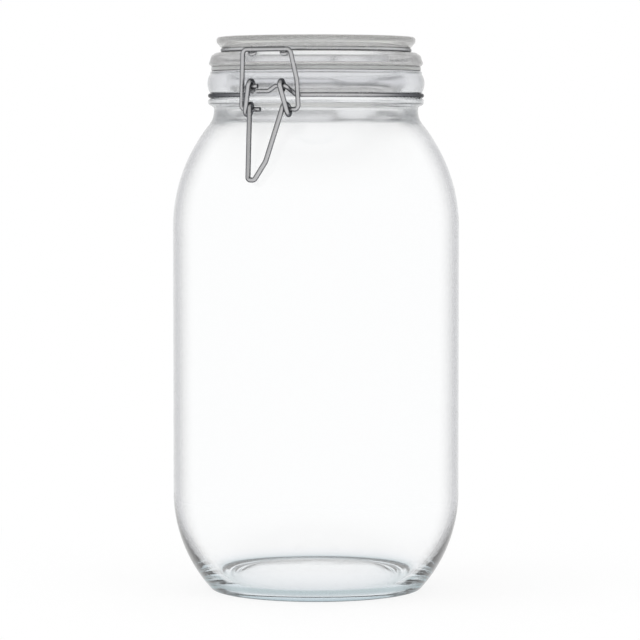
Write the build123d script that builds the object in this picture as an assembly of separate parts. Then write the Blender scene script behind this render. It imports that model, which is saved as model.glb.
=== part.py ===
from build123d import *
import os
from math import acos, asin, atan2, cos, degrees, hypot, radians, sin, sqrt

# Clip-top glass storage jar: a glass jar, a pressed glass lid on a silicone seal, and four bent
# steel wires. The neck ring and the lid ring make the hinge at the back; the lever and the yoke
# are the clasp at the front. Millimetres, +Z up, origin on the jar's axis at the plane that it
# stands on, clasp towards -Y, hinge towards +Y.

# Glass jar, from the foot up
body_radius = 72.0
wall = 3.4
foot_width = 5.5
push_up = 4.5
floor_thickness = 4.0
floor_crown = 4.3
floor_bend = 11.0
heel_radius = 72.0
heel_tightening = 13.0
heel_height = 49.0
side_height = 133.6
shoulder_radius = 82.0
neck_setback = 1.8
neck_blend = 10.0
neck_length = 5.8
bead_stand = 1.0
bead_height = 4.5
bead_slope = 1.5
finish_edge_radius = 53.1
finish_bulge = 1.3
finish_height = 10.9
finish_wall = 7.6
rim_bend = 1.4
mouth_bend = 2.0

# Silicone seal
seal_thickness = 2.2
seal_inset = 1.8
seal_bend = 0.7
seal_clearance = 0.1
seal_bore_clearance = 0.3

# Glass lid
plug_clearance = 2.9
plug_depth = 5.5
plug_wall = 5.0
plug_bend = 1.6
lid_thickness = 8.0
lid_recess = 1.8
lid_bend = 2.5
flange_inset = 0.6
flange_height = 6.8
flange_lip = 1.2
flange_slope = 1.6
flange_setback = 2.1
lid_rim_setback = 3.9
lid_rim_width = 7.0
lid_rim_height = 5.3
lid_rim_undercut = 2.2
lid_rim_taper = 2.6
lid_rim_bend = 1.3
lid_ring_setback = 3.1

# Wires and their running clearances
ring_wire = 2.2
yoke_wire = 2.3
lever_wire = 2.5
ring_clearance = 0.2
pivot_clearance = 0.2
eye_gap = 0.3
hinge_gap = 0.6

# Neck ring: two ends that carry the lever, and a raised bar at the back for the hinge
end_rise = 4.1
end_corner = 10.5
end_bend = 1.6
short_end = 4.6
long_end = 5.0
long_end_jog = 5.0
ring_open_angle = 22.0
ring_lead = 7.5
hinge_drop = 2.8
hinge_bar = 27.0
hinge_bend = 2.5
hinge_lead = 3.0
post_splay = 1.2

# Lid ring: two ears under the yoke's bar, and two hinge eyes at the back
ear_drop = 2.9
ear_inner = 7.2
ear_outer = 10.2
ear_shelf = 1.8
ear_bend = 1.4
ear_root = 4.0
lid_ring_angle = 22.0
lid_ring_lead = 3.5
hinge_eye_place = 9.0
hinge_leg_bend = 4.0

# Yoke: a bar over the ears, two legs and two inward ends that turn in the lever's coils
clasp_skew = -1.2
bar_rise = 2.3
bar_overhang = 2.0
bar_half = 12.7
bar_bend = 2.4
yoke_foot = 15.3
yoke_shift = 0.9
yoke_bend = 2.0
yoke_knee_drop = 15.0
yoke_knee = 1.4
yoke_long_end = 4.3
yoke_short_end = 7.5

# Lever: eyes on the neck ring's ends, coils round the yoke's ends and a V handle
lever_arm = 11.3
over_centre = 2.3
eye_place = 8.4
eye_drift = 0.5
coil_outer = 11.6
coil_inner = 8.8
handle_drop = 34.2
handle_clearance = 1.4
handle_shift = -2.25
handle_half = 1.7
handle_bend = 1.6
handle_knee = 4.1
handle_knee_rise = 9.0
knee_bend = 8.0

# Heights and radii that follow from the sizes above
neck_radius = finish_edge_radius - neck_setback
bead_radius = finish_edge_radius + bead_stand
finish_radius = finish_edge_radius + finish_bulge
mouth_radius = finish_edge_radius - finish_wall
plug_radius = mouth_radius - plug_clearance
flange_radius = finish_radius - flange_inset
lid_rim_radius = flange_radius - lid_rim_setback
heel_angle = degrees(asin(heel_height / heel_radius))
foot_radius = body_radius - heel_radius + heel_radius * cos(radians(heel_angle))
side_top = heel_height + side_height
shoulder_angle = degrees(acos((neck_radius - body_radius + shoulder_radius) / shoulder_radius))
neck_z = side_top + shoulder_radius * sin(radians(shoulder_angle))
bead_z = neck_z + neck_length
groove_height = ring_wire + 2 * ring_clearance
groove_z = bead_z + bead_height
finish_z = groove_z + groove_height
rim_z = finish_z + finish_height
seat_z = rim_z + seal_thickness + 2 * seal_clearance
lid_groove_z = seat_z + flange_height
lid_rim_z = lid_groove_z + groove_height
lid_top = lid_rim_z + lid_rim_height

neck_ring_radius = finish_edge_radius
neck_ring_z = groove_z + groove_height / 2
neck_groove_radius = neck_ring_radius - ring_wire / 2 - ring_clearance
lid_ring_radius = lid_rim_radius - lid_ring_setback
lid_ring_z = lid_groove_z + groove_height / 2
lid_groove_radius = lid_ring_radius - ring_wire / 2 - ring_clearance

# Pivots of the clasp and the hinge, as distance from the jar's axis and height
eye_radius = (ring_wire + lever_wire) / 2 + pivot_clearance
coil_radius = (yoke_wire + lever_wire) / 2 + pivot_clearance
hinge_eye_radius = ring_wire + pivot_clearance
lever_pivot = (finish_radius + eye_radius + lever_wire / 2 + eye_gap, neck_ring_z + end_rise)
yoke_pivot = (lever_pivot[0] - over_centre, lever_pivot[1] - lever_arm)
ear_tip = (flange_radius, lid_ring_z - ear_drop)
bar = (ear_tip[0] + bar_overhang, ear_tip[1] + bar_rise)
handle_z = yoke_pivot[1] - handle_drop
handle_climb = max(handle_z - side_top, 0)
glass_behind_handle = body_radius - shoulder_radius + sqrt(shoulder_radius**2 - handle_climb**2)
handle_tip = (glass_behind_handle + handle_clearance + lever_wire / 2, handle_z)
hinge = (finish_radius + hinge_eye_radius + ring_wire / 2 + hinge_gap, rim_z - hinge_drop)


def turned(outline, roundings):
    """A solid turned about Z from a closed outline of radius and height, with rounded corners."""
    profile = make_face(outline)
    for corner, radius in roundings:
        nearest = profile.vertices().sort_by_distance((corner[0], corner[1], 0))[0]
        profile = fillet(nearest, radius)
    return revolve(Plane.XZ * profile, axis=Axis.Z)


def wrap_corners(radius, start, end, steps):
    """Corners of a line that wraps round a circle from one angle to another, with its progress."""
    step = (end - start) / steps
    reach = radius / cos(radians(step / 2))
    corners = []
    for index in range(steps):
        angle = radians(start + (index + 0.5) * step)
        corners.append((reach * cos(angle), reach * sin(angle), (index + 0.5) / steps))
    return corners


def wrap_bend(radius):
    """Bend at each corner of a wrap: almost the whole radius, so that the runs between vanish."""
    return 0.97 * radius


def bent_wire(corners, diameter):
    """A round wire along straight runs, with the bend that is given at each corner."""
    points = [point for point, bend in corners]
    bends = [bend for point, bend in corners[1:-1]]
    path = FilletPolyline(*points, radius=bends)
    section = Plane(origin=path @ 0, z_dir=path % 0) * Circle(diameter / 2)
    return sweep(section, path=path)


def ring_side(side, radius, height, front_angle, back_angle):
    """Corners of half a ring in its groove, from the front to the back on one side."""
    corners = []
    for across, back, progress in wrap_corners(radius, front_angle - 90, 90 - back_angle, 5):
        corners.append(((side * across, back, height), wrap_bend(radius)))
    return corners


def ring_lead_point(side, radius, height, angle, lead, front):
    """Point on the tangent of a ring, a lead before the angle from the front or back where it starts."""
    across = radius * sin(radians(angle)) - lead * cos(radians(angle))
    out = radius * cos(radians(angle)) + lead * sin(radians(angle))
    return (side * across, -out if front else out, height)


def dome(edge_radius, edge_z, rise):
    """Arc of a shallow ball-shaped dome, from its edge to its top on the axis."""
    ball = (edge_radius**2 + rise**2) / (2 * rise)
    spread = degrees(asin(edge_radius / ball))
    return CenterArc((0, edge_z + rise - ball), ball, 90 - spread, spread)


def jar_body():
    """Jar: foot ring with a pushed-up base, heel, straight side, shoulder, beaded neck and finish."""
    inner_radius = body_radius - wall
    inner_heel = heel_radius - heel_tightening
    inner_shoulder = shoulder_radius - wall
    heel_centre = (body_radius - heel_radius, heel_height)
    inner_heel_centre = (inner_radius - inner_heel, heel_height)
    shoulder_centre = (body_radius - shoulder_radius, side_top)
    floor_angle = degrees(asin((heel_height - floor_thickness) / inner_heel))
    floor_radius = inner_heel_centre[0] + inner_heel * cos(radians(floor_angle))
    mouth_angle = degrees(acos((mouth_radius - shoulder_centre[0]) / inner_shoulder))
    mouth_z = side_top + inner_shoulder * sin(radians(mouth_angle))
    foot_inner = foot_radius - foot_width
    finish_widest = finish_z + finish_height / 3
    finish_shoulder = rim_z - rim_bend

    underside = dome(foot_inner, 0, push_up)
    foot = Line((foot_inner, 0), (foot_radius, 0))
    heel = CenterArc(heel_centre, heel_radius, -heel_angle, heel_angle)
    side = Line((body_radius, heel_height), (body_radius, side_top))
    shoulder = CenterArc(shoulder_centre, shoulder_radius, 0, shoulder_angle)
    neck = Polyline(
        (neck_radius, neck_z),
        (neck_radius, bead_z),
        (bead_radius, bead_z + bead_slope),
        (bead_radius, groove_z - bead_slope / 2),
        (finish_edge_radius, groove_z),
        (neck_groove_radius, groove_z),
        (neck_groove_radius, finish_z),
        (finish_edge_radius, finish_z),
    )
    finish = ThreePointArc(
        (finish_edge_radius, finish_z),
        (finish_radius, finish_widest),
        (finish_edge_radius, finish_shoulder),
    )
    rim = Polyline(
        (finish_edge_radius, finish_shoulder),
        (finish_edge_radius, rim_z),
        (mouth_radius, rim_z),
        (mouth_radius, mouth_z),
    )
    inner_shoulder_arc = CenterArc(shoulder_centre, inner_shoulder, 0, mouth_angle)
    inner_side = Line((inner_radius, side_top), (inner_radius, heel_height))
    inner_heel_arc = CenterArc(inner_heel_centre, inner_heel, -floor_angle, floor_angle)
    floor = dome(floor_radius, floor_thickness, floor_crown)
    axis = Line((0, floor_thickness + floor_crown), (0, push_up))
    outline = Curve() + [
        underside, foot, heel, side, shoulder, neck, finish, rim,
        inner_shoulder_arc, inner_side, inner_heel_arc, floor, axis,
    ]
    roundings = [
        ((foot_inner, 0), foot_width / 4),
        ((foot_radius, 0), foot_width / 5),
        ((neck_radius, neck_z), neck_blend),
        ((neck_radius, bead_z), bead_slope / 2),
        ((bead_radius, bead_z + bead_slope), bead_slope / 2),
        ((bead_radius, groove_z - bead_slope / 2), bead_slope / 4),
        ((finish_edge_radius, rim_z), rim_bend / 2),
        ((mouth_radius, rim_z), mouth_bend),
        ((mouth_radius, mouth_z), neck_blend),
        ((floor_radius, floor_thickness), floor_bend),
    ]
    return turned(outline, roundings)


def gasket():
    """Seal: a flat silicone ring between the jar's rim and the lid, round the lid's plug."""
    inner = plug_radius + seal_bore_clearance
    outer = finish_radius - seal_inset
    bottom = rim_z + seal_clearance
    top = bottom + seal_thickness
    outline = Polyline((inner, bottom), (outer, bottom), (outer, top), (inner, top), (inner, bottom))
    corners = [(inner, bottom), (outer, bottom), (outer, top), (inner, top)]
    return turned(outline, [(corner, seal_bend) for corner in corners])


def lid():
    """Lid: a plug inside the mouth, a flange over the seal, a wire groove and a raised rim."""
    plug_inner = plug_radius - plug_wall
    plug_z = seat_z - plug_depth
    recess_z = lid_top - lid_recess
    recess_radius = lid_rim_radius - lid_rim_width
    ceiling_z = recess_z - lid_thickness
    rim_waist = lid_rim_radius - lid_rim_undercut
    shelf_radius = flange_radius - flange_lip - flange_setback
    outline = Polyline(
        (0, ceiling_z),
        (plug_inner, ceiling_z),
        (plug_inner, plug_z),
        (plug_radius, plug_z),
        (plug_radius, seat_z),
        (flange_radius - flange_lip, seat_z),
        (flange_radius, seat_z + flange_lip),
        (flange_radius - flange_lip, lid_groove_z - flange_slope),
        (shelf_radius, lid_groove_z),
        (lid_groove_radius, lid_groove_z),
        (lid_groove_radius, lid_rim_z),
        (rim_waist, lid_rim_z),
        (lid_rim_radius, lid_rim_z + lid_rim_taper),
        (lid_rim_radius, lid_top),
        (recess_radius, lid_top),
        (recess_radius, recess_z),
        (0, recess_z),
        (0, ceiling_z),
    )
    roundings = [
        ((plug_inner, ceiling_z), lid_bend),
        ((plug_inner, plug_z), plug_bend),
        ((plug_radius, plug_z), plug_bend),
        ((flange_radius, seat_z + flange_lip), flange_lip / 2),
        ((flange_radius - flange_lip, lid_groove_z - flange_slope), flange_slope),
        ((shelf_radius, lid_groove_z), flange_slope / 3),
        ((rim_waist, lid_rim_z), lid_rim_undercut / 6),
        ((lid_rim_radius, lid_rim_z + lid_rim_taper), lid_rim_undercut / 2),
        ((lid_rim_radius, lid_top), lid_rim_bend),
        ((recess_radius, lid_top), lid_recess / 3),
        ((recess_radius, recess_z), lid_recess / 2),
    ]
    return turned(outline, roundings)


def neck_ring_side(side):
    """Corners of half the neck ring, from the lever's axle at the front to the hinge bar."""
    out, up = lever_pivot
    lead = ring_lead_point(side, neck_ring_radius, neck_ring_z, ring_open_angle, ring_lead, True)
    back = ring_lead_point(side, neck_ring_radius, neck_ring_z, ring_open_angle, hinge_lead, False)
    ring = ring_side(side, neck_ring_radius, neck_ring_z, ring_open_angle, ring_open_angle)
    front = [((side * end_corner, -out, up), end_bend), (lead, end_bend)]
    bar_end = ((side * hinge_bar / 2, hinge[0], hinge[1]), hinge_bend)
    post_foot = ((side * (hinge_bar / 2 + post_splay), hinge[0] - post_splay, neck_ring_z), hinge_bend)
    return front + ring + [(back, hinge_bend), post_foot, bar_end]


def neck_ring():
    """Neck ring: its short and long ends pass each other inside the lever's eyes."""
    out, up = lever_pivot
    below = up - ring_wire - ring_clearance
    long_tail = [
        ((-long_end, -out, below), 0),
        ((long_end_jog / 4, -out, below), end_bend),
        ((long_end_jog, -out, up), end_bend),
    ]
    short_tail = [((-short_end, -out, up), 0)]
    right = long_tail + neck_ring_side(1)
    left = neck_ring_side(-1)[::-1] + short_tail
    return bent_wire(right + left, ring_wire)


def lid_ring_side(side):
    """Corners of half the lid ring, from the middle of the front to its hinge eye at the back."""
    tip_out, tip_up = ear_tip
    shelf = tip_out - ear_shelf
    root = -lid_ring_radius
    ear = [
        ((clasp_skew + side * ear_root, root, lid_ring_z), ear_bend),
        ((clasp_skew + side * ear_inner, -shelf, lid_ring_z), ear_bend),
        ((clasp_skew + side * ear_inner, -tip_out, tip_up), ear_bend),
        ((clasp_skew + side * ear_outer, -tip_out, tip_up), ear_bend),
        ((clasp_skew + side * ear_outer, -shelf, lid_ring_z), ear_bend),
    ]
    front = ring_lead_point(side, lid_ring_radius, lid_ring_z, lid_ring_angle, lid_ring_lead, True)
    back = ring_lead_point(side, lid_ring_radius, lid_ring_z, lid_ring_angle, lid_ring_lead, False)
    ring = ring_side(side, lid_ring_radius, lid_ring_z, lid_ring_angle, lid_ring_angle)
    leg = ((side * hinge_eye_place, hinge[0] + hinge_eye_radius, lid_ring_z), hinge_leg_bend)
    eye = []
    for away, rise, progress in wrap_corners(hinge_eye_radius, 0, -260, 5):
        corner = (side * hinge_eye_place, hinge[0] + away, hinge[1] + rise)
        eye.append((corner, wrap_bend(hinge_eye_radius)))
    eye_end = radians(-260)
    last = (
        side * hinge_eye_place,
        hinge[0] + hinge_eye_radius * cos(eye_end),
        hinge[1] + hinge_eye_radius * sin(eye_end),
    )
    leads = [(front, ear_bend)] + ring + [(back, hinge_bend), leg]
    return ear + leads + eye + [(last, 0)]


def lid_ring():
    """Lid ring: lies in the lid's groove, with ears at the front and eyes on the hinge bar."""
    return bent_wire(lid_ring_side(-1)[::-1] + lid_ring_side(1), ring_wire)


def yoke():
    """Yoke: hooks over the lid ring's ears and turns in the lever's coils."""
    foot_out, foot_up = yoke_pivot
    bar_out, bar_up = bar
    bar_end = clasp_skew + bar_half
    foot_end = yoke_shift + yoke_foot
    down = yoke_knee_drop / (bar_up - foot_up)
    knee_out = bar_out + (foot_out - bar_out) * down
    knee = (bar_end + (foot_end - bar_end) * down + yoke_knee, -knee_out, bar_up - yoke_knee_drop)
    corners = [
        ((-yoke_long_end, -foot_out, foot_up), 0),
        ((yoke_shift - yoke_foot, -foot_out, foot_up), yoke_bend),
        ((clasp_skew - bar_half, -bar_out, bar_up), bar_bend),
        ((bar_end, -bar_out, bar_up), bar_bend),
        (knee, knee_bend),
        ((foot_end, -foot_out, foot_up), yoke_bend),
        ((yoke_short_end, -foot_out, foot_up), 0),
    ]
    return bent_wire(corners, yoke_wire)


def lever_side(side):
    """Corners of half the lever: eye on the neck ring, arm, coil on the yoke's end, handle leg."""
    eye_out, eye_up = lever_pivot
    coil_out, coil_up = yoke_pivot
    tip_out, tip_up = handle_tip
    span = hypot(eye_out - coil_out, eye_up - coil_up)
    slope = degrees(atan2(eye_up - coil_up, eye_out - coil_out))
    arm_angle = slope - degrees(acos((coil_radius - eye_radius) / span))
    reach = hypot(tip_out - coil_out, tip_up - coil_up)
    lean = degrees(atan2(tip_out - coil_out, coil_up - tip_up)) - degrees(asin(coil_radius / reach))

    eye_start = -102.0
    eye_end = arm_angle - 360
    corners = []
    first = (
        side * (eye_place - eye_drift),
        -eye_out - eye_radius * cos(radians(eye_start)),
        eye_up + eye_radius * sin(radians(eye_start)),
    )
    corners.append((first, 0))
    for away, rise, progress in wrap_corners(eye_radius, eye_start, eye_end, 5):
        across = side * (eye_place - eye_drift * (1 - progress))
        corners.append(((across, -eye_out - away, eye_up + rise), wrap_bend(eye_radius)))
    for away, rise, progress in wrap_corners(coil_radius, arm_angle, lean - 360, 6):
        across = side * (coil_outer + (coil_inner - coil_outer) * progress)
        corners.append(((across, -coil_out - away, coil_up + rise), wrap_bend(coil_radius)))
    if side > 0:
        leg_out = coil_out + coil_radius * cos(radians(lean))
        leg_up = coil_up + coil_radius * sin(radians(lean))
        knee_out = tip_out + (leg_out - tip_out) * handle_knee_rise / (leg_up - tip_up)
        corners.append(((handle_knee, -knee_out, tip_up + handle_knee_rise), knee_bend))
    corners.append(((handle_shift + side * handle_half, -tip_out, tip_up), handle_bend))
    return corners


def lever():
    """Lever: the hand pulls its V handle outwards to slacken the yoke."""
    return bent_wire(lever_side(-1) + lever_side(1)[::-1], lever_wire)


nodes = {
    "jar_body": jar_body,
    "gasket": gasket,
    "lid": lid,
    "neck_ring": neck_ring,
    "lid_ring": lid_ring,
    "yoke": yoke,
    "lever": lever,
}

os.makedirs("parts", exist_ok=True)
for name, make in nodes.items():
    export_step(make(), f"parts/{name}.step")
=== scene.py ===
from math import acos, asin, cos, pi, radians, sin, sqrt

import bmesh
import bpy
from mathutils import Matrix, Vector


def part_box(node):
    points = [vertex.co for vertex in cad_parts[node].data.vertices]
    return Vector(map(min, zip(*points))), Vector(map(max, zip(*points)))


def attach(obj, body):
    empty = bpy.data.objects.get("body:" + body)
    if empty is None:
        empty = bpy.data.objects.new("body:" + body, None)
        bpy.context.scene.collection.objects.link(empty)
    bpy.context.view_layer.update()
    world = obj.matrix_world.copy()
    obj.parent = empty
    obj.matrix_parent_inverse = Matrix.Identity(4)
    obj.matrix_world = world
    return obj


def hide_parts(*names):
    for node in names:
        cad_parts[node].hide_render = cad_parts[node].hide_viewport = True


# Clip-top glass jar: a blown jar, a pressed lid on a silicone seal, and four wires of drawn steel.
# The glass and the seal are turned here as smooth meshes over the frame's solids. The wires keep the
# frame's own meshes and get their finish here. Metres, +Z up, clasp towards -Y, hinge towards +Y.

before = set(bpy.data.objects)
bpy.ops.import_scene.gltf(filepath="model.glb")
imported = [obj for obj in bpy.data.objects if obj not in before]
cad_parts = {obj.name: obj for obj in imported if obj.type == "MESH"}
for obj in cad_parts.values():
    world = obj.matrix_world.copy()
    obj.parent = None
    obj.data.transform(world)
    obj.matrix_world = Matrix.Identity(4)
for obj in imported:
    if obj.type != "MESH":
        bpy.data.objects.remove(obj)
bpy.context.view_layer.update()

MM = 0.001
jar_low, jar_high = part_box("jar_body")
lid_low, lid_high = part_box("lid")
seal_low, seal_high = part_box("gasket")

# Glass jar
body_radius = jar_high.x
rim_z = jar_high.z
wall = 3.4 * MM
foot_width = 5.5 * MM
foot_bend = 1.1 * MM
push_up = 4.5 * MM
base_step = 0.8 * MM
base_step_radius = 39.0 * MM
base_step_width = 5.0 * MM
floor_thickness = 4.0 * MM
floor_crown = 4.3 * MM
floor_bend = 11.0 * MM
heel_radius = 72.0 * MM
inner_heel_radius = 59.0 * MM
heel_height = 49.0 * MM
side_height = 133.6 * MM
shoulder_radius = 82.0 * MM
neck_radius = 51.3 * MM
neck_blend = 10.0 * MM
groove_radius = 51.8 * MM
groove_height = 2.6 * MM
bead_radius = 54.1 * MM
bead_height = 4.5 * MM
bead_slope = 1.5 * MM
finish_radius = 53.1 * MM
finish_height = 10.9 * MM
finish_bulge = 1.37 * MM
mouth_radius = 45.5 * MM
mouth_bend = 2.0 * MM
rim_bend = 1.4 * MM

# Glass lid
lid_top = lid_high.z
plug_z = lid_low.z
plug_radius = 42.6 * MM
plug_wall = 5.0 * MM
plug_depth = 5.5 * MM
plug_bend = 1.6 * MM
lid_thickness = 8.0 * MM
lid_recess = 1.8 * MM
lid_bend = 2.5 * MM
flange_radius = 53.8 * MM
flange_height = 6.8 * MM
flange_lip = 1.2 * MM
flange_slope = 1.6 * MM
flange_setback = 2.1 * MM
lid_groove_radius = 45.5 * MM
lid_rim_radius = 49.9 * MM
lid_rim_width = 7.0 * MM
lid_rim_undercut = 2.2 * MM
lid_rim_taper = 2.6 * MM
lid_rim_bend = 1.3 * MM

# Clear glass: its refraction, its absorption per metre, the roughness of the cloudy moulded part, and
# how far it turns away from the eye where its painted dark edge starts and where it is full. The painted
# edge stands in for the dark surroundings that the wall shows along its edges.
glass_ior = 1.52
glass_density = 5.0
mould_haze = 0.16
painted_edge_start = 0.47
painted_edge_full = 0.80

# Silicone seal
seal_bend = 0.7 * MM
seal_bore_clearance = 0.3 * MM
seal_grain = 1.5 * MM
seal_grain_depth = 0.03 * MM

# Drawn wire: width of its marks, least and most roughness, and how far it turns away from the eye where
# its painted side tone starts and where it is full
wire_mark = 2.5 * MM
wire_smooth = 0.20
wire_rough = 0.32
wire_painted_side_start = 0.06
wire_painted_side_end = 0.45

# Fineness of the turned meshes
glass_steps = 192
seal_steps = 128
bend_steps = 8
arc_step = radians(1.5)
merge_gap = 0.01 * MM

# Studio: air under the jar's foot, so that glass and floor don't share a plane, the floor, how white it
# is beside the jar and from where it is all white, the light of the room, and the lamps
floor_gap = 0.05 * MM
floor_radius = 8.0
floor_white = 0.86
shade_radius = 0.06
white_radius = 0.30
room_light = 0.90
lamp_aim = Vector((0, 0, 0.14))
key_softbox = {"place": Vector((-1.2, -1.2, 1.6)), "size": 1.6, "watts": 12.0}
fill_softbox = {"place": Vector((1.6, -0.6, 1.2)), "size": 1.2, "watts": 5.0}

# Camera, as the photograph was taken
view_azimuth = radians(24.5)
view_distance = 1.660
view_height = 0.230
aim_height = 0.1358
aim_right = 0.0020
lens = 185.4


def linear(code):
    """A colour written as sRGB hex, in linear light, with full alpha."""
    colour = []
    for place in (1, 3, 5):
        share = int(code[place:place + 2], 16) / 255
        colour.append(share / 12.92 if share < 0.04045 else ((share + 0.055) / 1.055) ** 2.4)
    return colour + [1]


def node(tree, kind, settings=(), **inputs):
    """Adds a node with its settings. An input is a value, or the output of another node to link."""
    made = tree.nodes.new(kind)
    for name, value in dict(settings).items():
        setattr(made, name, value)
    for name, value in inputs.items():
        socket = made.inputs[int(name[1:])] if name[0] == "_" else made.inputs[name.replace("_", " ")]
        if isinstance(value, bpy.types.NodeSocket):
            tree.links.new(value, socket)
        else:
            socket.default_value = value
    return made


def material(name):
    """An empty node material, with its tree and its output node."""
    made = bpy.data.materials.new(name)
    made.use_nodes = True
    made.node_tree.nodes.clear()
    return made, made.node_tree, made.node_tree.nodes.new("ShaderNodeOutputMaterial")


def glass(name, body, wave, stretch, tone_and_painted_shade_levels, haze):
    """Clear soda-lime glass, with the slow waves that a mould leaves. Each level is a height, the tone of
    the glass there, which is painted shade where it greys, the painted dark edge tone that its outside
    takes where it turns from the eye, standing in for the dark surroundings seen along the wall, and how
    uneven it is. Between the heights of the haze it turns cloudy, and thick glass takes the body colour.
    A wave has a width and a depth, and is stretched sideways."""
    made, tree, output = material(name)
    place = node(tree, "ShaderNodeTexCoord")
    height = node(tree, "ShaderNodeSeparateXYZ", Vector=place.outputs["Object"])
    share = node(
        tree, "ShaderNodeMapRange", Value=height.outputs["Z"],
        From_Min=tone_and_painted_shade_levels[0][0], From_Max=tone_and_painted_shade_levels[-1][0],
    )
    tone = node(tree, "ShaderNodeValToRGB", Fac=share.outputs["Result"])
    # The painted dark edge tone, by height
    edge = node(tree, "ShaderNodeValToRGB", Fac=share.outputs["Result"])
    for level in tone_and_painted_shade_levels[1:-1]:
        for ramp in (tone, edge):
            ramp.color_ramp.elements.new((level[0] - tone_and_painted_shade_levels[0][0]) / (tone_and_painted_shade_levels[-1][0] - tone_and_painted_shade_levels[0][0]))
    for tone_stop, painted_edge_stop, level in zip(tone.color_ramp.elements, edge.color_ramp.elements, tone_and_painted_shade_levels):
        tone_stop.color = linear(level[1])[:3] + [level[3]]
        painted_edge_stop.color = linear(level[2])
    flat = node(tree, "ShaderNodeMapping", Vector=place.outputs["Object"], Scale=(1, 1, stretch))
    waves = node(tree, "ShaderNodeTexNoise", Vector=flat.outputs[0], Scale=1 / wave[0], Detail=1.0)
    rise = node(
        tree, "ShaderNodeMath", {"operation": "MULTIPLY"},
        _0=waves.outputs["Fac"], _1=tone.outputs["Alpha"],
    )
    bump = node(tree, "ShaderNodeBump", Height=rise.outputs[0], Distance=wave[1], Strength=1.0)
    blur = node(
        tree, "ShaderNodeMapRange", Value=height.outputs["Z"],
        From_Min=haze[0], From_Max=haze[1], To_Min=0.0, To_Max=mould_haze,
    )
    # Painted edge shade: its share grows as the surface turns from the eye, times the vertex share
    # 'outside'
    facing = node(tree, "ShaderNodeLayerWeight", Blend=0.5)
    painted_edge_share = node(
        tree, "ShaderNodeMapRange", {"interpolation_type": "SMOOTHSTEP"},
        Value=facing.outputs["Facing"], From_Min=painted_edge_start, From_Max=painted_edge_full,
    )
    outside = node(tree, "ShaderNodeAttribute", {"attribute_name": "outside"})
    along = node(
        tree, "ShaderNodeMath", {"operation": "MULTIPLY"},
        _0=painted_edge_share.outputs["Result"], _1=outside.outputs["Fac"],
    )
    # The glass tone, which is partly painted shade, times the painted dark edge
    tone_with_painted_shade = node(
        tree, "ShaderNodeMix", {"data_type": "RGBA", "blend_type": "MULTIPLY"},
        _0=along.outputs[0], _6=tone.outputs["Color"], _7=edge.outputs["Color"],
    )
    surface = node(
        tree, "ShaderNodeBsdfPrincipled", Base_Color=tone_with_painted_shade.outputs[2], Roughness=blur.outputs[0],
        IOR=glass_ior, Transmission_Weight=1.0, Normal=bump.outputs["Normal"],
    )
    depth = node(tree, "ShaderNodeVolumeAbsorption", Color=linear(body), Density=glass_density)
    tree.links.new(surface.outputs[0], output.inputs["Surface"])
    tree.links.new(depth.outputs[0], output.inputs["Volume"])
    return made


def steel(name, away):
    """Stainless steel wire, drawn bright through a die: mid grey, with faint marks that blur its shine.
    Where it turns away from the eye it takes the away tone, a painted side tone: painted shade on the
    clasp wires, standing in for dark surroundings reflected there, and painted light on the lid's ring.
    The marks are drawn coarser than the real ones, so that they show."""
    made, tree, output = material(name)
    place = node(tree, "ShaderNodeTexCoord")
    marks = node(
        tree, "ShaderNodeTexNoise", Vector=place.outputs["Object"], Scale=1 / wire_mark, Detail=2.0,
    )
    shine = node(
        tree, "ShaderNodeMapRange", Value=marks.outputs["Fac"], To_Min=wire_smooth, To_Max=wire_rough,
    )
    tone = node(
        tree, "ShaderNodeMix", {"data_type": "RGBA"},
        _0=marks.outputs["Fac"], _6=linear("#B6B6B8"), _7=linear("#C6C6C7"),
    )
    # Painted side tone: the away colour mixed in where the wire turns from the eye
    facing = node(tree, "ShaderNodeLayerWeight", Blend=0.5)
    turn = node(
        tree, "ShaderNodeMapRange", {"interpolation_type": "SMOOTHSTEP"},
        Value=facing.outputs["Facing"], From_Min=wire_painted_side_start, From_Max=wire_painted_side_end,
    )
    shade = node(
        tree, "ShaderNodeMix", {"data_type": "RGBA"},
        _0=turn.outputs["Result"], _6=tone.outputs[2], _7=linear(away),
    )
    surface = node(
        tree, "ShaderNodeBsdfPrincipled", Base_Color=shade.outputs[2], Metallic=1.0,
        Roughness=shine.outputs["Result"], Specular_Tint=linear("#A0A0A0"),
    )
    tree.links.new(surface.outputs[0], output.inputs["Surface"])
    return made


def silicone():
    """Moulded translucent silicone: milky, satin, with a faint mould grain."""
    made, tree, output = material("translucent_silicone")
    place = node(tree, "ShaderNodeTexCoord")
    grain = node(
        tree, "ShaderNodeTexNoise", Vector=place.outputs["Object"], Scale=1 / seal_grain, Detail=2.0,
    )
    tone = node(
        tree, "ShaderNodeMix", {"data_type": "RGBA"},
        _0=grain.outputs["Fac"], _6=linear("#CFD0CF"), _7=linear("#DEDFDE"),
    )
    bump = node(
        tree, "ShaderNodeBump", Height=grain.outputs["Fac"], Distance=seal_grain_depth, Strength=0.4,
    )
    surface = node(
        tree, "ShaderNodeBsdfPrincipled", Base_Color=tone.outputs[2], Roughness=0.42, IOR=1.41,
        Transmission_Weight=0.5, Normal=bump.outputs["Normal"],
    )
    tree.links.new(surface.outputs[0], output.inputs["Surface"])
    return made


def straight(radius, height, bend=0.0):
    """A straight run of an outline to a corner, and how far from the corner its bend starts."""
    return ("straight", radius, height, bend)


def arc(radius, height, turn):
    """A round run of an outline about a centre. A positive turn goes from outwards to upwards."""
    return ("arc", radius, height, turn)


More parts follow.
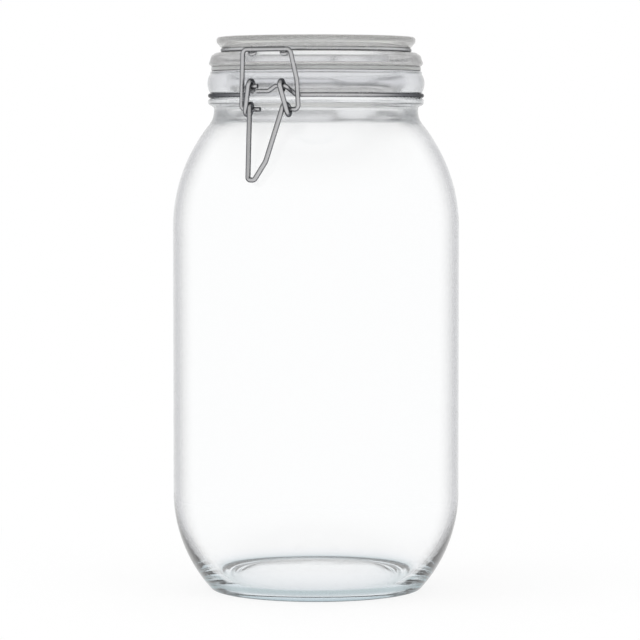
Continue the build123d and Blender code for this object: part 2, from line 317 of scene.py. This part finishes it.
def turned(name, body, finish, skins, steps):
    """A piece turned about Z from skins. Each skin has a share, how much of the glass's painted dark edge
    it takes, a start, and its straight and round runs. The share is kept on each vertex as outside.
    Where two skins meet, the first one's share holds."""
    bm = bmesh.new()
    # Each vertex's share of the glass's painted dark edge
    outside = bm.verts.layers.float.new("outside")
    meeting = skins[0][0]
    for share, start, runs in skins:
        before = set(bm.verts[:] + bm.edges[:])
        tip = bm.verts.new((start[0], 0, start[1]))
        bends = []
        for kind, radius, height, amount in runs:
            if kind == "arc":
                spun = bmesh.ops.spin(
                    bm, geom=[tip], cent=(radius, 0, height), axis=(0, -1, 0), angle=amount,
                    steps=max(bend_steps, round(abs(amount) / arc_step)), use_duplicate=False,
                )
                tip = spun["geom_last"][0]
            else:
                tip = bmesh.ops.extrude_vert_indiv(bm, verts=[tip])["verts"][0]
                tip.co = (radius, 0, height)
                if amount:
                    bends.append((tip, amount))
        for corner, bend in bends:
            bmesh.ops.bevel(
                bm, geom=[corner], offset=bend, offset_type="OFFSET", affect="VERTICES",
                segments=bend_steps, profile=0.5, material=-1,
            )
        outline = [part for part in bm.verts[:] + bm.edges[:] if part not in before]
        bmesh.ops.spin(
            bm, geom=outline, cent=(0, 0, 0), axis=(0, 0, 1), angle=2 * pi,
            steps=steps, use_merge=True, use_duplicate=False,
        )
        for vert in bm.verts:
            if vert not in before:
                apart = Vector((vert.co.xy.length, vert.co.z)) - Vector(start)
                vert[outside] = share if apart.length > merge_gap else meeting
        meeting = share
    bmesh.ops.remove_doubles(bm, verts=bm.verts[:], dist=merge_gap)
    bmesh.ops.recalc_face_normals(bm, faces=bm.faces[:])
    for face in bm.faces:
        face.smooth = True
    mesh = bpy.data.meshes.new(name)
    bm.to_mesh(mesh)
    bm.free()
    mesh.materials.append(finish)
    piece = bpy.data.objects.new(name, mesh)
    bpy.context.scene.collection.objects.link(piece)
    even = piece.modifiers.new("even_normals", "WEIGHTED_NORMAL")
    even.weight = 50
    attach(piece, body)
    return piece


def dome(edge, rise):
    """Radius of the ball whose cap has this edge radius and rise, and the angle the cap spans."""
    ball = (edge ** 2 + rise ** 2) / (2 * rise)
    return ball, asin(edge / ball)


def blown_jar():
    """Jar outline: from the axis under the base, up the outside, over the rim and down the inside."""
    finish_z = rim_z - finish_height
    groove_z = finish_z - groove_height
    bead_z = groove_z - bead_height
    side_top = heel_height + side_height
    heel_turn = asin(heel_height / heel_radius)
    foot_radius = body_radius - heel_radius * (1 - cos(heel_turn))
    foot_inner = foot_radius - foot_width
    heel_x = body_radius - heel_radius
    shoulder_x = body_radius - shoulder_radius
    base_ball = dome(foot_inner, push_up)[0]
    base_ball_z = push_up - base_ball
    step_turn = asin((base_step_radius - base_step_width / 2) / base_ball)
    slope_turn = asin((base_step_radius + base_step_width / 2) / base_ball)
    foot_turn = asin((foot_inner - 2 * foot_bend) / base_ball)
    foot_middle = foot_radius - foot_width / 2

    neck_turn = acos((neck_radius + neck_blend - shoulder_x) / (shoulder_radius + neck_blend))
    neck_blend_z = side_top + (shoulder_radius + neck_blend) * sin(neck_turn)

    bulge_span = finish_height - rim_bend
    bulge_ball, bulge_turn = dome(bulge_span / 2, finish_bulge)
    bulge_x = finish_radius + finish_bulge - bulge_ball

    inner_shoulder = shoulder_radius - wall
    mouth_turn = acos((mouth_radius + neck_blend - shoulder_x) / (inner_shoulder + neck_blend))
    mouth_blend_z = side_top + (inner_shoulder + neck_blend) * sin(mouth_turn)

    inner_heel_x = body_radius - wall - inner_heel_radius
    floor_edge = inner_heel_x + sqrt(inner_heel_radius ** 2 - (heel_height - floor_thickness) ** 2)
    floor_ball = dome(floor_edge, floor_crown)[0]
    floor_ball_z = floor_thickness + floor_crown - floor_ball

    # The bend between floor and heel touches both, so its centre lies at these reaches from their centres
    bend_reach = inner_heel_radius - floor_bend
    ball_reach = floor_ball + floor_bend
    apart = Vector((inner_heel_x, heel_height - floor_ball_z))
    along = (ball_reach ** 2 - bend_reach ** 2 + apart.length_squared) / (2 * apart.length)
    aside = sqrt(ball_reach ** 2 - along ** 2)
    bend_x = (apart.x * along + apart.y * aside) / apart.length
    bend_z = floor_ball_z + (apart.y * along - apart.x * aside) / apart.length
    inner_turn = asin((heel_height - bend_z) / bend_reach)
    crown_turn = asin(bend_x / ball_reach)

    rim_middle = (finish_radius + mouth_radius) / 2
    under = [
        arc(0, base_ball_z + base_step, -step_turn),
        straight(base_ball * sin(slope_turn), base_ball_z + base_ball * cos(slope_turn)),
        arc(0, base_ball_z, slope_turn - foot_turn),
        straight(foot_inner, 0, foot_bend),
        straight(foot_middle, 0),
    ]
    outside = [
        straight(foot_radius, 0, foot_bend),
        arc(heel_x, heel_height, heel_turn),
        straight(body_radius, side_top),
        arc(shoulder_x, side_top, neck_turn),
        arc(neck_radius + neck_blend, neck_blend_z, -neck_turn),
    ]
    collar = [
        straight(neck_radius, bead_z, bead_slope / 2),
        straight(bead_radius, bead_z + bead_slope, bead_slope / 2),
        straight(bead_radius, groove_z - bead_slope / 2, bead_slope / 4),
        straight(finish_radius, groove_z, bead_slope / 4),
        straight(groove_radius, groove_z, bead_slope / 4),
        straight(groove_radius, finish_z, bead_slope / 4),
        straight(finish_radius, finish_z),
        arc(bulge_x, finish_z + bulge_span / 2, 2 * bulge_turn),
        straight(finish_radius, rim_z, rim_bend / 2),
        straight(rim_middle, rim_z),
    ]
    inside = [
        straight(mouth_radius, rim_z, mouth_bend),
        straight(mouth_radius, mouth_blend_z),
        arc(mouth_radius + neck_blend, mouth_blend_z, mouth_turn),
        arc(shoulder_x, side_top, -mouth_turn),
        straight(body_radius - wall, heel_height),
        arc(inner_heel_x, heel_height, -inner_turn),
        arc(bend_x, bend_z, inner_turn - pi / 2 - crown_turn),
        arc(0, floor_ball_z, crown_turn),
    ]
    # Tones by height: the teal at the foot is partly the thick glass's own colour and partly painted
    # shade of the foot; the grey over the finish is painted shade. The edge tones are the painted dark
    # edge, darkest at the foot.
    tone_and_painted_shade_levels = [
        (0, "#9CB2B7", "#3A5359", 0.1),
        (0.4 * push_up, "#E2E9ED", "#35565C", 0.1),
        (push_up, "#F6F8FB", "#35565C", 0.1),
        (2 * push_up, "#FFFFFF", "#425F64", 0.1),
        (3 * push_up, "#FFFFFF", "#5A6E72", 0.05),
        (heel_height / 2, "#FFFFFF", "#7A7C81", 0.05),
        (heel_height, "#FFFFFF", "#848489", 0.05),
        (bead_z - 2 * neck_blend, "#FFFFFF", "#848489", 0.05),
        (bead_z, "#FFFFFF", "#E4E4E8", 0.1),
        (groove_z, "#FBFBFC", "#848489", 0.6),
        (rim_z, "#DEDEE1", "#848489", 0.6),
    ]
    haze = (bead_z - 2 * neck_blend, bead_z - neck_blend)
    finish = glass("blown_soda_lime_glass", "#B4CCD6", (40 * MM, 0.5 * MM), 8.0, tone_and_painted_shade_levels, haze)
    # Shares of the painted dark edge: some under the base and on the collar, full on the outer wall, none
    # inside
    skins = [
        (0.4, (0, push_up + base_step), under),
        (1.0, (foot_middle, 0), outside),
        (0.4, (neck_radius, neck_blend_z), collar),
        (0.0, (rim_middle, rim_z), inside),
    ]
    jar = turned("jar_glass", "jar", finish, skins, glass_steps)
    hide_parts("jar_body")


def pressed_lid():
    """Lid outline: from the axis under the lid, round the plug, the flange, the groove and the rim."""
    seat_z = plug_z + plug_depth
    lid_groove_z = seat_z + flange_height
    lid_rim_z = lid_groove_z + groove_height
    recess_z = lid_top - lid_recess
    recess_radius = lid_rim_radius - lid_rim_width
    ceiling_z = recess_z - lid_thickness
    plug_inner = plug_radius - plug_wall
    rim_waist = lid_rim_radius - lid_rim_undercut
    flange_edge = flange_radius - flange_lip
    shelf = flange_edge - flange_setback
    runs = [
        straight(plug_inner, ceiling_z, lid_bend),
        straight(plug_inner, plug_z, plug_bend),
        straight(plug_radius, plug_z, plug_bend),
        straight(plug_radius, seat_z, plug_bend / 4),
        straight(flange_edge, seat_z, flange_lip / 4),
        straight(flange_radius, seat_z + flange_lip, flange_lip / 2),
        straight(flange_edge, lid_groove_z - flange_slope, flange_slope / 3),
        straight(shelf, lid_groove_z, flange_slope / 3),
        straight(lid_groove_radius, lid_groove_z, flange_slope / 4),
        straight(lid_groove_radius, lid_rim_z, flange_slope / 4),
        straight(rim_waist, lid_rim_z, lid_rim_undercut / 6),
        straight(lid_rim_radius, lid_rim_z + lid_rim_taper, lid_rim_undercut / 4),
        straight(lid_rim_radius, lid_top, lid_rim_bend),
        straight(recess_radius, lid_top, lid_recess / 3),
        straight(recess_radius, recess_z, lid_recess / 2),
        straight(0, recess_z),
    ]
    # Tones by height: the grey towards the top of the lid is painted shade. The edge tones are a pale
    # painted edge.
    tone_and_painted_shade_levels = [
        (plug_z, "#F8F8F9", "#EAE9E7", 0.5),
        (lid_rim_z, "#F2F2F2", "#EAE9E7", 0.6),
        (lid_top, "#BEBEBA", "#EAE9E7", 0.6),
    ]
    haze = (plug_z, seat_z)
    finish = glass("pressed_soda_lime_glass", "#E8E8E8", (60 * MM, 0.08 * MM), 12.0, tone_and_painted_shade_levels, haze)
    lid = turned("lid_glass", "lid", finish, [(1.0, (0, ceiling_z), runs)], glass_steps)
    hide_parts("lid")


def seal_ring():
    """Seal outline: a flat ring with round edges, begun in the middle of its underside."""
    inner = plug_radius + seal_bore_clearance
    outer = seal_high.x
    middle = (inner + outer) / 2
    runs = [
        straight(outer, seal_low.z, seal_bend),
        straight(outer, seal_high.z, seal_bend),
        straight(inner, seal_high.z, seal_bend),
        straight(inner, seal_low.z, seal_bend),
        straight(middle, seal_low.z),
    ]
    skins = [(1.0, (middle, seal_low.z), runs)]
    seal = turned("seal_silicone", "lid", silicone(), skins, seal_steps)
    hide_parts("gasket")


def dress_wires():
    """The four wires keep their solids' meshes. The clasp wires get painted dark sides. The lid's ring
    lies deep in the glass groove and gets painted light on its sides, over the shade of the groove."""
    clasp = steel("drawn_stainless_wire_painted_dark_sides", "#6A6B6F")
    # The ring's lighter away tone is painted light
    ring = steel("drawn_stainless_ring_wire_painted_light_sides", "#C6C7C9")
    for name, finish in (("neck_ring", clasp), ("lid_ring", ring), ("yoke", clasp), ("lever", clasp)):
        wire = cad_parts[name]
        for face in wire.data.polygons:
            face.use_smooth = True
        for slot in wire.material_slots:
            slot.material = finish


def seen_rays(tree):
    """The light path, and 1 for what is seen straight, in a reflection or through glass."""
    path = node(tree, "ShaderNodeLightPath")
    shown = node(
        tree, "ShaderNodeMath", {"operation": "ADD"},
        _0=path.outputs["Is Camera Ray"], _1=path.outputs["Is Glossy Ray"],
    )
    seen = node(
        tree, "ShaderNodeMath", {"operation": "ADD", "use_clamp": True},
        _0=shown.outputs[0], _1=path.outputs["Is Transmission Ray"],
    )
    return path, seen


def studio():
    """White floor and world, one large soft lamp over the left shoulder and a weaker one on the right."""
    made, tree, output = material("white_studio_floor")
    seen = seen_rays(tree)[1]
    place = node(tree, "ShaderNodeTexCoord")
    far = node(tree, "ShaderNodeVectorMath", {"operation": "LENGTH"}, _0=place.outputs["Object"])
    fade = node(
        tree, "ShaderNodeMapRange", {"interpolation_type": "SMOOTHSTEP"},
        Value=far.outputs["Value"], From_Min=shade_radius, From_Max=white_radius,
        To_Min=floor_white, To_Max=1.0,
    )
    share = node(
        tree, "ShaderNodeMath", {"operation": "MULTIPLY"}, _0=seen.outputs[0], _1=fade.outputs["Result"],
    )
    matt = node(tree, "ShaderNodeBsdfDiffuse", Color=linear("#FAFAFA"))
    white = node(tree, "ShaderNodeEmission", Color=linear("#FFFFFF"), Strength=1.0)
    both = node(
        tree, "ShaderNodeMixShader", _0=share.outputs[0], _1=matt.outputs[0], _2=white.outputs[0],
    )
    tree.links.new(both.outputs[0], output.inputs["Surface"])

    bm = bmesh.new()
    bmesh.ops.create_circle(bm, cap_ends=True, segments=96, radius=floor_radius)
    bmesh.ops.translate(bm, vec=(0, 0, -floor_gap), verts=bm.verts[:])
    mesh = bpy.data.meshes.new("studio_floor")
    bm.to_mesh(mesh)
    bm.free()
    mesh.materials.append(made)
    floor = bpy.data.objects.new("studio_floor", mesh)
    bpy.context.scene.collection.objects.link(floor)

    world = bpy.data.worlds.new("white_studio")
    bpy.context.scene.world = world
    world.use_nodes = True
    tree = world.node_tree
    tree.nodes.clear()
    output = tree.nodes.new("ShaderNodeOutputWorld")
    path, seen = seen_rays(tree)
    place = node(tree, "ShaderNodeTexCoord")
    height = node(tree, "ShaderNodeSeparateXYZ", Vector=place.outputs["Generated"])
    ceiling = node(tree, "ShaderNodeValToRGB", Fac=height.outputs["Z"])
    for stop, colour in zip((0.45, 0.65, 0.80, 1.0), ("#FFFFFF", "#E4E4E2", "#B4B4B2", "#989896")):
        point = ceiling.color_ramp.elements.new(stop)
        point.color = linear(colour)
    ceiling.color_ramp.elements.remove(ceiling.color_ramp.elements[0])
    ceiling.color_ramp.elements.remove(ceiling.color_ramp.elements[-1])
    fill = node(tree, "ShaderNodeBackground", Color=linear("#FFFFFF"), Strength=room_light)
    room = node(tree, "ShaderNodeBackground", Color=ceiling.outputs["Color"], Strength=1.0)
    white = node(tree, "ShaderNodeBackground", Color=linear("#FFFFFF"), Strength=1.0)
    both = node(
        tree, "ShaderNodeMixShader", _0=seen.outputs[0], _1=fill.outputs[0], _2=room.outputs[0],
    )
    shown = node(
        tree, "ShaderNodeMixShader",
        _0=path.outputs["Is Camera Ray"], _1=both.outputs[0], _2=white.outputs[0],
    )
    tree.links.new(shown.outputs[0], output.inputs["Surface"])

    for name, softbox in (("key_softbox", key_softbox), ("fill_softbox", fill_softbox)):
        lamp = bpy.data.lights.new(name, "AREA")
        lamp.shape = "SQUARE"
        lamp.size = softbox["size"]
        lamp.energy = softbox["watts"]
        holder = bpy.data.objects.new(name, lamp)
        holder.location = softbox["place"]
        holder.visible_glossy = False
        holder.visible_transmission = False
        holder.rotation_euler = (lamp_aim - softbox["place"]).to_track_quat("-Z", "Y").to_euler()
        bpy.context.scene.collection.objects.link(holder)


def camera():
    """The photograph's camera: a long lens a little above the lid's height, right of the clasp."""
    across = Vector((cos(view_azimuth), sin(view_azimuth), 0))
    data = bpy.data.cameras.new("camera")
    data.sensor_width = 36
    data.lens = lens
    made = bpy.data.objects.new("camera", data)
    made.location = (view_distance * sin(view_azimuth), -view_distance * cos(view_azimuth), view_height)
    aim = Vector((0, 0, aim_height)) + across * aim_right
    made.rotation_euler = (aim - made.location).to_track_quat("-Z", "Y").to_euler()
    bpy.context.scene.collection.objects.link(made)
    bpy.context.scene.camera = made


blown_jar()
pressed_lid()
seal_ring()
dress_wires()
studio()
camera()
bpy.context.scene.view_settings.view_transform = "Standard"

# Thick glass turns light back on itself many times before it comes out, so its paths may be long
bpy.context.scene.cycles.glossy_bounces = 16
bpy.context.scene.cycles.max_bounces = 24
